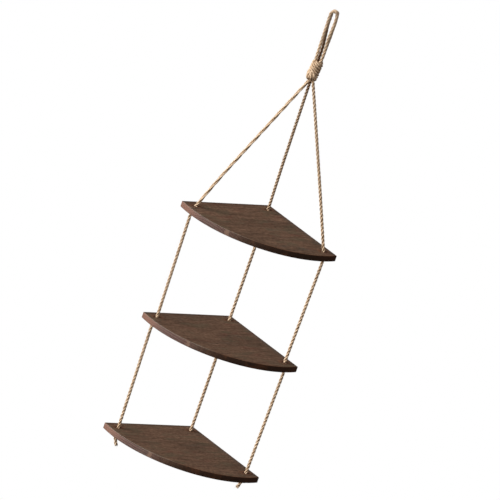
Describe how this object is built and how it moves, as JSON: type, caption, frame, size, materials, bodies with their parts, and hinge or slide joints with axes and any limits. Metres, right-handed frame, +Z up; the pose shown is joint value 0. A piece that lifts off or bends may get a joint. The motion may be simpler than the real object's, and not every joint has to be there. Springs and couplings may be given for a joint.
{
  "type": "corner hanging shelf",
  "caption": "Tiered corner shelf: quarter-round wooden boards threaded on laid ropes that gather in a coil knot under a long hanging loop.",
  "frame": {"origin": "where a hook bears: the inner top of the hanging loop, over the middle of the boards' area", "axes": "+Z up; +Y towards the boards' square corner and so the corner of the room; -Y towards the rounded front; +X to the right, seen from the front"},
  "size_m": [0.396, 0.304, 1.2201],
  "materials": {
    "board_wood": "dark brown stain, satin, fine straight grain",
    "rope_fibre": "undyed three-strand laid plant fibre, matt"
  },
  "bodies": {
    "root": {"shelf_top": "board_wood", "shelf_middle": "board_wood", "shelf_bottom": "board_wood", "rope_left": "rope_fibre", "rope_back": "rope_fibre", "rope_right": "rope_fibre", "coil_knot": "rope_fibre", "loop_front": "rope_fibre", "loop_back": "rope_fibre"}
  },
  "joints": []
}
